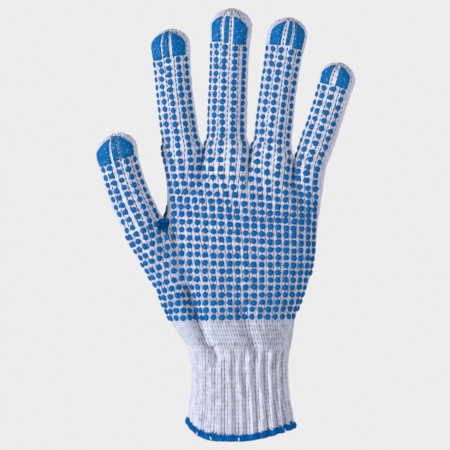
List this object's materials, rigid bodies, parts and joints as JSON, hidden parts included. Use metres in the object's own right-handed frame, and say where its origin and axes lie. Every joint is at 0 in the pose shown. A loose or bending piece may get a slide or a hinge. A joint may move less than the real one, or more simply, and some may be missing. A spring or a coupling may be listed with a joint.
{
  "type": "cotton work glove",
  "caption": "Seamless knitted left-hand work glove with rubber-like grip dots and fingertip prints on the palm side, a ribbed cuff and an overlocked hem.",
  "frame": {"origin": "centre of the wrist opening, level with the lowest point of the hem", "axes": "+Z from the hem to the fingertips, -Y out of the palm side, +X from the thumb's side to the little finger's"},
  "size_m": [0.1502, 0.0483, 0.2503],
  "materials": {
    "knit_yarn": "plain-knitted pale cotton yarn",
    "grip_print": "soft blue print, satin",
    "hem_thread": "blue overlock thread"
  },
  "bodies": {
    "root": {"palm_body": "knit_yarn", "thumb": "knit_yarn", "index_finger": "knit_yarn", "middle_finger": "knit_yarn", "ring_finger": "knit_yarn", "little_finger": "knit_yarn", "ribbed_cuff": "knit_yarn", "hem_band": "hem_thread", "thumb_print_1": "grip_print", "thumb_print_2": "grip_print", "thumb_print_3": "grip_print", "index_finger_print_1": "grip_print", "index_finger_print_2": "grip_print", "index_finger_print_3": "grip_print", "middle_finger_print_1": "grip_print", "middle_finger_print_2": "grip_print", "middle_finger_print_3": "grip_print", "ring_finger_print_1": "grip_print", "ring_finger_print_2": "grip_print", "ring_finger_print_3": "grip_print", "little_finger_print_1": "grip_print", "little_finger_print_2": "grip_print"}
  },
  "joints": []
}
